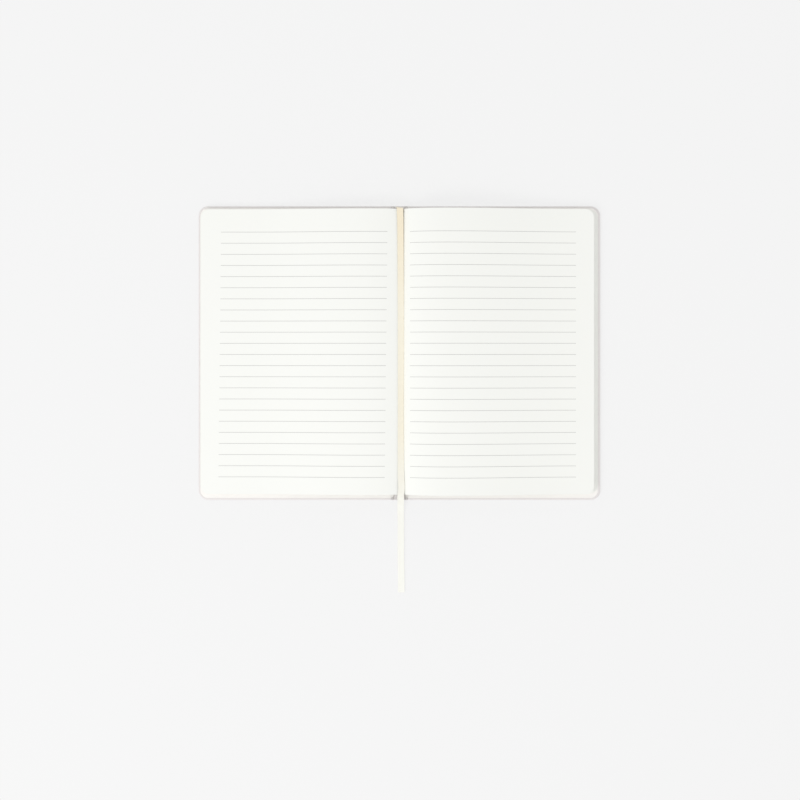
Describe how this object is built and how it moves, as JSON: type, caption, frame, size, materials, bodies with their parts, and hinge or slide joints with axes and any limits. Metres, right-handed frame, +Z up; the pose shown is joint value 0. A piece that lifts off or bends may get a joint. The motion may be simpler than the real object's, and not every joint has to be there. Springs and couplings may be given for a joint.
{
  "type": "open ruled hardcover notebook",
  "caption": "Case-bound notebook lying open: rounded covers, arched ruled pages of a sewn block and a ribbon marker down the gutter.",
  "frame": {"origin": "centre of the spine, on the surface that the notebook lies on", "axes": "+X from the spine towards the back cover's fore-edge, +Y towards the head, +Z up"},
  "size_m": [0.29, 0.279, 0.0178],
  "materials": {
    "board": "matte grey pulp board",
    "covering": "matte blush imitation leather, fine grain",
    "endpaper": "matte cream paper",
    "lining": "open cloth and paper",
    "thread": "waxed thread",
    "paper": "uncoated cream-white paper",
    "ink": "matte grey print",
    "ribbon": "satin ribbon"
  },
  "bodies": {
    "text_block": {"pages": "paper", "left_ruling": "ink", "right_ruling": "ink", "front_flyleaf": "endpaper", "back_flyleaf": "endpaper", "sewing_thread": "thread", "spine_lining": "lining", "spine_card": "board", "spine_covering": "covering", "ribbon_marker": "ribbon"},
    "front_cover": {"front_board": "board", "front_covering": "covering", "front_pastedown": "endpaper"},
    "back_cover": {"back_board": "board", "back_covering": "covering", "back_pastedown": "endpaper"}
  },
  "joints": [
    {"name": "front_hinge", "type": "hinge", "parent": "text_block", "child": "front_cover", "pos_m": [-0.005, 0, 0.00068], "axis": [0, -1, 0], "range_deg": [0, 90]},
    {"name": "back_hinge", "type": "hinge", "parent": "text_block", "child": "back_cover", "pos_m": [0.005, 0, 0.00068], "axis": [0, 1, 0], "range_deg": [0, 90]}
  ]
}
